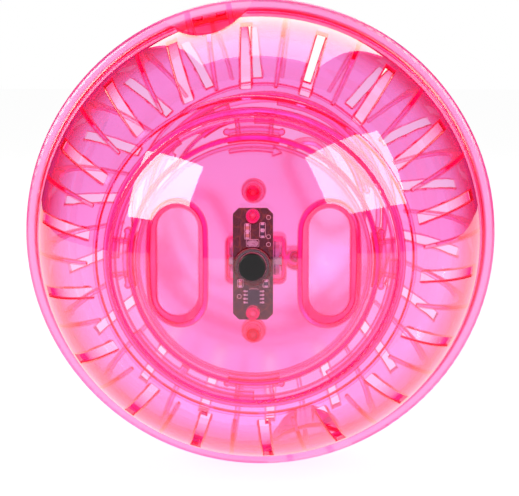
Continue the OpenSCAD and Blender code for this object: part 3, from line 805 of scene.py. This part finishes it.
def set_exact_normals(mesh):
    """Points the normals on the ball's own spheres straight out of, or into, its centre."""
    normals = [corner.vector.copy() for corner in mesh.corner_normals]
    exact = 0
    for face in mesh.polygons:
        for corner in face.loop_indices:
            at = mesh.vertices[mesh.loops[corner].vertex_index].co
            if min(abs(at.length - r) for r in SPHERES) > ON_SPHERE:
                continue
            out = at.normalized()
            level = out.dot(face.normal)
            if abs(level) > NEARLY_RADIAL:
                normals[corner] = out * math.copysign(1, level)
                exact += 1
    mesh.normals_split_custom_set(normals)
    return exact


# %% Six clear mouldings
for name, body, slot, skin in (
    ("front_shell", "ball", "shell_pink", SHELL),
    ("rear_shell", "ball", "shell_pink", SHELL),
    ("front_door", "front_door", "door_pink", DOOR),
    ("rear_door", "rear_door", "door_pink", DOOR),
    ("door_inner_disc", "front_door", "module_pink", MODULE),
    ("battery_cover", "front_door", "module_pink", MODULE),
):
    mesh = welded_walls(name)
    exact = set_exact_normals(mesh)
    mesh.materials.append(skin)
    made = bpy.data.objects.new(name + "_polished", mesh)
    bpy.context.collection.objects.link(made)
    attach(made, body)
    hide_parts(name)
    print(name + ":", len(mesh.polygons), "triangles,", exact, "exact normals")

# %% [markdown]
# ## One piece at many places
#
# Chip resistors, capacitors, lights and solder joints each repeat one small shape. Geometry
# Nodes put a copy of a shape at each point, so the shape is made once, and every copy is the
# same. The tree's inputs are the shape and its finishes. Each face of the shape carries a
# number, skin, that says which finish it gets. The last nodes turn the copies into real mesh
# and give the finishes, because an exported model keeps neither instances nor rules.

# %% The tree
SKINS = ("Body", "Ends", "Window")
BODY, ENDS, WINDOW = range(3)


def copies_tree():
    tree = bpy.data.node_groups.new("a piece at each place", "GeometryNodeTree")
    tree.interface.new_socket("Places", in_out="INPUT", socket_type="NodeSocketGeometry")
    tree.interface.new_socket("Piece", in_out="INPUT", socket_type="NodeSocketObject")
    for skin in SKINS:
        tree.interface.new_socket(skin, in_out="INPUT", socket_type="NodeSocketMaterial")
    tree.interface.new_socket("Copies", in_out="OUTPUT", socket_type="NodeSocketGeometry")
    given = node(tree, "NodeGroupInput")
    piece = node(tree, "GeometryNodeObjectInfo", {}, {"Object": given.outputs["Piece"]})
    placed = node(
        tree,
        "GeometryNodeInstanceOnPoints",
        {},
        {"Points": given.outputs["Places"], "Instance": piece.outputs["Geometry"]},
    )
    shape = node(tree, "GeometryNodeRealizeInstances", {}, {0: placed.outputs[0]}).outputs[0]
    number = node(tree, "GeometryNodeInputNamedAttribute", {"data_type": "INT", "Name": "skin"})
    for value, skin in enumerate(SKINS):
        chosen = node(
            tree,
            "FunctionNodeCompare",
            {"data_type": "INT", "operation": "EQUAL", 3: value},
            {2: number.outputs["Attribute"]},
        )
        shape = node(
            tree,
            "GeometryNodeSetMaterial",
            {},
            {"Geometry": shape, "Selection": chosen.outputs[0], "Material": given.outputs[skin]},
        ).outputs[0]
    node(tree, "NodeGroupOutput", {}, {0: shape})
    return tree


COPIES = copies_tree()
print("tree:", COPIES.name, "with", len(COPIES.nodes), "nodes")

# %% [markdown]
# A tree runs as a modifier on a mesh of bare points, the places. Its result is kept as a plain
# mesh, and the piece rides on its body like any other.

# %% Running a tree


def grown(name, tree, places, inputs, body, nodes=()):
    """Runs a tree on a mesh of places, and keeps the result as a piece that rides on a body."""
    start = bpy.data.objects.new(name + "_places", places)
    bpy.context.collection.objects.link(start)
    live = start.modifiers.new("grown", "NODES")
    live.node_group = tree
    for socket in tree.interface.items_tree:
        if socket.in_out == "INPUT" and socket.name in inputs:
            live[socket.identifier] = inputs[socket.name]
    seen = start.evaluated_get(bpy.context.evaluated_depsgraph_get())
    kept = bpy.data.objects.new(name, bpy.data.meshes.new_from_object(seen))
    bpy.context.collection.objects.link(kept)
    bpy.data.objects.remove(start)
    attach(kept, body)
    if nodes:
        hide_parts(*nodes)
    kept.data.calc_loop_triangles()
    print(name + ":", len(kept.data.loop_triangles), "triangles")


def places_mesh(name, places):
    mesh = bpy.data.meshes.new(name)
    mesh.from_pydata(places, [], [])
    return mesh


# %% [markdown]
# ## Places from the frame
#
# A node such as the resistors is one mesh of several blocks. Welding a copy of it and walking
# from point to point along its edges parts the blocks, and each block's box gives a place and
# a size.

# %% Blocks of a node


def blocks(name):
    """The low and high corner of each separate block of a frame node."""
    work = bmesh.new()
    work.from_mesh(NODES[name].data)
    bmesh.ops.remove_doubles(work, verts=work.verts, dist=WELD / 2)
    found, seen = [], set()
    for first in work.verts:
        if first in seen:
            continue
        group, front = [first], [first]
        seen.add(first)
        while front:
            for edge in front.pop().link_edges:
                for end in edge.verts:
                    if end not in seen:
                        seen.add(end)
                        group.append(end)
                        front.append(end)
        low = Vector([min(v.co[k] for v in group) for k in range(3)])
        high = Vector([max(v.co[k] for v in group) for k in range(3)])
        found.append((low, high))
    work.free()
    return found


def middle(block):
    return (block[0] + block[1]) / 2


for name in ("resistors", "capacitors", "leds"):
    print(name + ":", [[round(v / MM, 1) for v in middle(block)] for block in blocks(name)])

# %% [markdown]
# ## Chip resistors, capacitors and lights
#
# A chip resistor or capacitor is a small block between two tinned end caps, and the caps wrap
# round its ends a little proud of it. A light is a white cup with a round window of yellow
# filling. Each is a few boxes with rounded edges, joined in one mesh.

# %% Rounded block
ROUNDING_STEPS, ROUNDING_SHAPE = 2, 0.6


def add_block(work, low, high, edge, skin):
    """Adds a box with rounded edges to a bmesh, and marks its faces with a skin number."""
    marks = work.faces.layers.int.get("skin") or work.faces.layers.int.new("skin")
    made = bmesh.ops.create_cube(work, size=1.0)["verts"]
    span, centre = high - low, (low + high) / 2
    for vert in made:
        vert.co = Vector([vert.co[k] * span[k] + centre[k] for k in range(3)])
    edges = list({e for vert in made for e in vert.link_edges})
    bevel = bmesh.ops.bevel(
        work,
        geom=edges + made,
        offset=edge,
        segments=ROUNDING_STEPS,
        profile=ROUNDING_SHAPE,
        affect="EDGES",
    )
    for face in set(bevel["faces"]) | {f for vert in bevel["verts"] for f in vert.link_faces}:
        face[marks] = skin


def shape_object(work, name):
    """Turns a bmesh into the object that a tree copies."""
    bmesh.ops.recalc_face_normals(work, faces=work.faces)
    mesh = bpy.data.meshes.new(name)
    work.to_mesh(mesh)
    work.free()
    held = bpy.data.objects.new(name, mesh)
    bpy.context.collection.objects.link(held)
    return held


# %% Chip resistors and capacitors
CAP_LEN = 0.35 * MM
CAP_PROUD = 0.02 * MM
CAP_EDGE = 0.08 * MM


def chip_part(name, span):
    """A block that lies along Z, with end caps, about the origin."""
    work = bmesh.new()
    half = span / 2
    inset = Vector((CAP_PROUD, CAP_PROUD, CAP_LEN))
    add_block(work, -half + inset, half - inset, CAP_EDGE / 2, BODY)
    for side in (-1, 1):
        near, far = side * (half.z - CAP_LEN - CAP_EDGE), side * half.z
        low = Vector((-half.x, -half.y, min(near, far)))
        high = Vector((half.x, half.y, max(near, far)))
        add_block(work, low, high, CAP_EDGE, ENDS)
    return shape_object(work, name)


for name, skin, slot in (("resistors", GLAZE, "epoxy_black"), ("capacitors", CERAMIC, "ceramic")):
    found = blocks(name)
    piece = chip_part(name + "_one", found[0][1] - found[0][0])
    grown(
        name + "_dressed",
        COPIES,
        places_mesh(name, [middle(block) for block in found]),
        {"Piece": piece, "Body": skin, "Ends": TIN, "Window": TIN},
        "front_door",
        (name,),
    )
    bpy.data.objects.remove(piece)

# %% [markdown]
# The window is a low cone whose top stands level with the node's own face, so that the light
# keeps its height, and the cup ends just below it.

# %% Lights
CUP_EDGE = 0.15 * MM
WINDOW_R = 1.2 * MM
WINDOW_TAPER = 0.8
WINDOW_UP = 0.15 * MM
led_blocks = blocks("leds")
led_span = led_blocks[0][1] - led_blocks[0][0]
work = bmesh.new()
lift = Vector((0, WINDOW_UP, 0))
add_block(work, -led_span / 2, led_span / 2 - lift, CUP_EDGE, BODY)
window = bmesh.ops.create_cone(
    work,
    cap_ends=True,
    segments=32,
    radius1=WINDOW_R,
    radius2=WINDOW_R * WINDOW_TAPER,
    depth=2 * WINDOW_UP,
)["verts"]
marks = work.faces.layers.int["skin"]
for vert in window:
    up = led_span.y / 2 - WINDOW_UP + vert.co.z
    vert.co = Vector((vert.co.x, up, -vert.co.y))
for face in {f for vert in window for f in vert.link_faces}:
    face[marks] = WINDOW
light_piece = shape_object(work, "light_one")
grown(
    "leds_dressed",
    COPIES,
    places_mesh("leds", [middle(block) for block in led_blocks]),
    {"Piece": light_piece, "Body": CUP, "Ends": TIN, "Window": PHOSPHOR},
    "front_door",
    ("leds",),
)
bpy.data.objects.remove(light_piece)

# %% [markdown]
# ## Solder joints
#
# At each lead and end cap the solder has wetted the pad, and sets as a low shiny mound: a
# squashed ball, half of it sunk in the board.

# %% A solder joint
JOINT_R, JOINT_H = 0.42 * MM, 0.3 * MM
JOINT_STRETCH = 1.25
work = bmesh.new()
joint_marks = work.faces.layers.int.new("skin")
bmesh.ops.create_uvsphere(work, u_segments=16, v_segments=8, radius=JOINT_R)
for vert in work.verts:
    vert.co = Vector((vert.co.x * JOINT_STRETCH, vert.co.y * JOINT_H / JOINT_R, vert.co.z))
for face in work.faces:
    face.smooth = True
    face[joint_marks] = ENDS
joint = shape_object(work, "joint_one")
print("solder joint:", JOINT_H / MM, "mm high")

# %% Solder joints
LEAD_PITCH = 1.27 * MM
LEADS_A_SIDE = 4
LEAD_TOE = 0.1 * MM
PAD_OUT = 0.05 * MM
PIN_OUT, PIN_IN = 0.5 * MM, 0.8 * MM
board_low = Vector(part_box("circuit_board")[0])
chip_mid = (chip_low + chip_high) / 2
joints_at = []
for side in (chip_low.x + LEAD_TOE, chip_high.x - LEAD_TOE):
    for k in range(LEADS_A_SIDE):
        up = (k - (LEADS_A_SIDE - 1) / 2) * LEAD_PITCH
        joints_at.append((side, board_low.y, chip_mid.z + up))
for name in ("resistors", "capacitors"):
    for low, high in blocks(name):
        for up in (low.z - PAD_OUT, high.z + PAD_OUT):
            joints_at.append(((low.x + high.x) / 2, board_low.y, up))
housing_low, housing_high = [Vector(corner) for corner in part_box("switch_housing")]
for x in (housing_low.x - PIN_OUT, housing_high.x + PIN_OUT):
    for z in (housing_low.z + PIN_IN, housing_high.z - PIN_IN):
        joints_at.append((x, board_low.y, z))
grown(
    "solder_joints",
    COPIES,
    places_mesh("joints", joints_at),
    {"Piece": joint, "Body": TIN, "Ends": TIN, "Window": TIN},
    "front_door",
)
bpy.data.objects.remove(joint)
print("joints:", len(joints_at))

# %% [markdown]
# ## Legend
#
# White legend lines frame the parts and the test pads. They could be a picture on the board,
# but a picture has to be drawn somewhere else. Here every frame comes from one curve, a
# square, which is scaled to the part's size before it becomes a thin raised line, so that the
# line is equally wide everywhere. The size travels with each point, as an attribute.

# %% The legend's tree


def outlines_tree():
    tree = bpy.data.node_groups.new("a frame at each place", "GeometryNodeTree")
    tree.interface.new_socket("Places", in_out="INPUT", socket_type="NodeSocketGeometry")
    tree.interface.new_socket("Line radius", in_out="INPUT", socket_type="NodeSocketFloat")
    tree.interface.new_socket("Corner radius", in_out="INPUT", socket_type="NodeSocketFloat")
    tree.interface.new_socket("Ink", in_out="INPUT", socket_type="NodeSocketMaterial")
    tree.interface.new_socket("Outlines", in_out="OUTPUT", socket_type="NodeSocketGeometry")
    given = node(tree, "NodeGroupInput")
    spans = node(
        tree, "GeometryNodeInputNamedAttribute", {"data_type": "FLOAT_VECTOR", "Name": "span"}
    )
    unit = node(tree, "GeometryNodeCurvePrimitiveQuadrilateral", {"Width": 1.0, "Height": 1.0})
    placed = node(
        tree,
        "GeometryNodeInstanceOnPoints",
        {"Rotation": (math.pi / 2, 0, 0)},
        {
            "Points": given.outputs["Places"],
            "Instance": unit.outputs[0],
            "Scale": spans.outputs[0],
        },
    )
    frames = node(tree, "GeometryNodeRealizeInstances", {}, {0: placed.outputs[0]})
    rounded = node(
        tree,
        "GeometryNodeFilletCurve",
        {"mode": "POLY", "Count": 4},
        {"Curve": frames.outputs[0], "Radius": given.outputs["Corner radius"]},
    )
    section = node(
        tree,
        "GeometryNodeCurvePrimitiveCircle",
        {"Resolution": 6},
        {"Radius": given.outputs["Line radius"]},
    )
    lines = node(
        tree,
        "GeometryNodeCurveToMesh",
        {},
        {"Curve": rounded.outputs[0], "Profile Curve": section.outputs[0]},
    )
    inked = node(
        tree,
        "GeometryNodeSetMaterial",
        {},
        {"Geometry": lines.outputs[0], "Material": given.outputs["Ink"]},
    )
    node(tree, "NodeGroupOutput", {}, {0: inked.outputs[0]})
    return tree


# %% [markdown]
# A frame stands a little off a small part's outline. Round the chip it is narrower than the
# body, so that it runs between the two rows of leads and shows only past the body's ends. The
# test pads are listed one by one.

# %% Legend
LINE_R, CORNER_R = 0.09 * MM, 0.5 * MM
PART_MARGIN, RESONATOR_MARGIN = 0.35 * MM, 0.25 * MM
CHIP_FRAME_IN, CHIP_FRAME_OUT = 0.4 * MM, 0.25 * MM
PAD_FRAME = 1.3 * MM
TEST_PADS = ((5.2, 15.7), (5.2, 9.2), (5.2, 6.6), (3.9, -7.3), (-4.6, -11.0))

framed = []


def frame_block(low, high, margin_x, margin_z):
    """Notes a frame's middle and its width and height, round a part's box."""
    span = high - low
    framed.append((middle((low, high)), span.x + 2 * margin_x, span.z + 2 * margin_z))


for name in ("resistors", "capacitors"):
    for low, high in blocks(name):
        frame_block(low, high, PART_MARGIN, PART_MARGIN)
resonator_low, resonator_high = [Vector(corner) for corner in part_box("resonator")]
frame_block(resonator_low, resonator_high, RESONATOR_MARGIN, RESONATOR_MARGIN)
chip_half = Vector((CHIP_BODY_W / 2, 0, (chip_high.z - chip_low.z) / 2))
frame_block(chip_mid - chip_half, chip_mid + chip_half, -CHIP_FRAME_IN, CHIP_FRAME_OUT)
for x, z in TEST_PADS:
    framed.append((Vector((x * MM, 0, z * MM)), PAD_FRAME, PAD_FRAME))
legend = places_mesh("legend", [(mid.x, board_low.y, mid.z) for mid, width, height in framed])
spans = legend.attributes.new("span", "FLOAT_VECTOR", "POINT")
for k, (mid, width, height) in enumerate(framed):
    spans.data[k].vector = (width, height, 1)
grown(
    "board_legend",
    outlines_tree(),
    legend,
    {"Line radius": LINE_R, "Corner radius": CORNER_R, "Ink": INK},
    "front_door",
)
print("legend:", len(framed), "frames")

# %% [markdown]
# ## Floor
#
# The floor is a sheet of matt white card. It has to look white to the camera and through the
# plastic, and still take the shadow. So for those rays its material is part plain card, which
# the lamps and the shadow draw, and part light of its own, which fills it up to white.

# %% Sheets and rays
SQUARE = ((-1, -1), (1, -1), (1, 1), (-1, 1))


def sheet_of_card(name, corners, material, faces=((0, 1, 2, 3),)):
    mesh = bpy.data.meshes.new(name)
    mesh.from_pydata(corners, [], faces)
    made = bpy.data.objects.new(name, mesh)
    bpy.context.collection.objects.link(made)
    mesh.materials.append(material)
    return made


def seen_directly(tree):
    """1 for rays from the camera, off a glossy face or through clear plastic, otherwise 0."""
    path = node(tree, "ShaderNodeLightPath")
    first = node(
        tree,
        "ShaderNodeMath",
        {"operation": "MAXIMUM"},
        {0: path.outputs["Is Camera Ray"], 1: path.outputs["Is Glossy Ray"]},
    )
    return node(
        tree,
        "ShaderNodeMath",
        {"operation": "MAXIMUM"},
        {0: first.outputs[0], 1: path.outputs["Is Transmission Ray"]},
    )


# %% Floor
FLOOR_HALF = 3.0
GLOW_SHARE, GLOW_STRENGTH = 0.62, 1.3

card, card_tree = new_material("matt white card")
share = node(
    card_tree,
    "ShaderNodeMath",
    {"operation": "MULTIPLY", 1: GLOW_SHARE},
    {0: seen_directly(card_tree).outputs[0]},
)
pulp = node(card_tree, "ShaderNodeBsdfDiffuse", {"Color": srgb("#f4f4f4")})
glow = node(
    card_tree, "ShaderNodeEmission", {"Color": (1, 1, 1, 1), "Strength": GLOW_STRENGTH}
)
card_mix = node(
    card_tree,
    "ShaderNodeMixShader",
    {},
    {0: share.outputs[0], 1: pulp.outputs[0], 2: glow.outputs[0]},
)
node(card_tree, "ShaderNodeOutputMaterial", {}, {"Surface": card_mix.outputs[0]})
sheet_of_card("floor", [(x * FLOOR_HALF, y * FLOOR_HALF, -RIM_R) for x, y in SQUARE], card)
print("floor:", 2 * FLOOR_HALF, "m wide, level with the flange's lowest point")

# %% [markdown]
# ## Light
#
# The world is white to look at, and half as bright as a source of light, so that the
# background is white and the lamps still shape the ball.
#
# The photograph's reflections give the lamps: a broad one behind and above, and one at each
# side, in front. Their outlines on the ball were turned into directions, and the softboxes
# stand there. Each is two things in one place: an area lamp, which lights and isn't mirrored,
# and a bright sheet, which is only mirrored. So a reflection can be as bright as in the
# photograph with no more light on the ball. The sheets are slightly yellow, so that their
# reflections over pink come out neutral.

# %% World
SKY_SEEN, SKY_LIGHT = 1.0, 0.5
world = bpy.data.worlds.new("white studio")
bpy.context.scene.world = world
world.use_nodes = True
sky = world.node_tree
sky.nodes.clear()
seen = node(sky, "ShaderNodeBackground", {"Color": (1, 1, 1, 1), "Strength": SKY_SEEN})
plain = node(sky, "ShaderNodeBackground", {"Color": (1, 1, 1, 1), "Strength": SKY_LIGHT})
mixed = node(
    sky,
    "ShaderNodeMixShader",
    {},
    {0: seen_directly(sky).outputs[0], 1: plain.outputs[0], 2: seen.outputs[0]},
)
node(sky, "ShaderNodeOutputWorld", {}, {"Surface": mixed.outputs[0]})
print("world:", SKY_LIGHT, "as a light,", SKY_SEEN, "to look at")

# %% Softboxes
LAMP_COLOUR, FACE_COLOUR = srgb("#fffcf6"), srgb("#fffae5")


def only_mirrored(sheet):
    sheet.visible_camera = sheet.visible_diffuse = False
    sheet.visible_transmission = sheet.visible_shadow = False


def softbox(name, place, size, light, face):
    """A rectangle that faces the ball: how strongly it lights, and how bright its face looks."""
    lamp = bpy.data.lights.new(name, "AREA")
    lamp.shape = "RECTANGLE"
    lamp.size, lamp.size_y = size
    lamp.energy = light * math.pi * size[0] * size[1]
    lamp.color = LAMP_COLOUR[:3]
    held = bpy.data.objects.new(name, lamp)
    bpy.context.collection.objects.link(held)
    held.location = place
    turn = (-Vector(place)).to_track_quat("-Z", "Y")
    held.rotation_euler = turn.to_euler()
    held.visible_glossy = False
    bright, tree = new_material(name + " face")
    cover = node(tree, "ShaderNodeEmission", {"Color": FACE_COLOUR, "Strength": face})
    node(tree, "ShaderNodeOutputMaterial", {}, {"Surface": cover.outputs[0]})
    half = Vector(size) / 2
    corners = [Vector(place) + turn @ Vector((x * half.x, y * half.y, 0)) for x, y in SQUARE]
    only_mirrored(sheet_of_card(name + " face", corners, bright))
    print(name + ":", round(lamp.energy, 2), "W")


softbox("left softbox", (-0.72, -0.62, 0.43), (0.58, 0.52), light=5, face=11)
softbox("right softbox", (0.757, -0.473, 0.515), (0.84, 0.58), light=3.0, face=7.5)
softbox("top softbox", (0.0, 0.60, 0.72), (0.72, 0.86), light=1.6, face=3.0)

# %% [markdown]
# Away from the lamps, the studio round a clear ball has to be dark. In a white room every
# wall would mirror white, and the pink would wash out. So a tent of dark cloth stands round
# the set, with a roof, and only reflections see it.

# %% Dark cloth
CLOTH_FRONT, CLOTH_SIDE, CLOTH_BACK, CLOTH_TOP = -1.13, 1.13, 1.5, 2.5
# black felt: matt and nearly even, with a coarse soft nap
CLOTH, *_ = patterned("dark studio cloth", "#303032", "#202022", 20 * MM, 0.5 * MM, 0.9)
corners_round = [
    (-CLOTH_SIDE, CLOTH_BACK),
    (-CLOTH_SIDE, CLOTH_FRONT),
    (CLOTH_SIDE, CLOTH_FRONT),
    (CLOTH_SIDE, CLOTH_BACK),
]
walls = [(k, (k + 1) % 4, (k + 1) % 4 + 4, k + 4) for k in range(4)]
roof = (4, 5, 6, 7)
cloth = sheet_of_card(
    "studio cloth",
    [(x, y, z) for z in (-RIM_R, CLOTH_TOP) for x, y in corners_round],
    CLOTH,
    [*walls, roof],
)
only_mirrored(cloth)
print("cloth:", len(walls), "walls and a roof")

# %% [markdown]
# ## Render settings
#
# Light inside the walls turns many corners before it gets out. With too few bounces those
# paths end black, so all the limits are raised.

# %% Settings and finish
BOUNCES = 40
scene = bpy.context.scene
scene.view_settings.view_transform = "Standard"
for limit in ("max_bounces", "transmission_bounces", "glossy_bounces", "transparent_max_bounces"):
    setattr(scene.cycles, limit, BOUNCES)
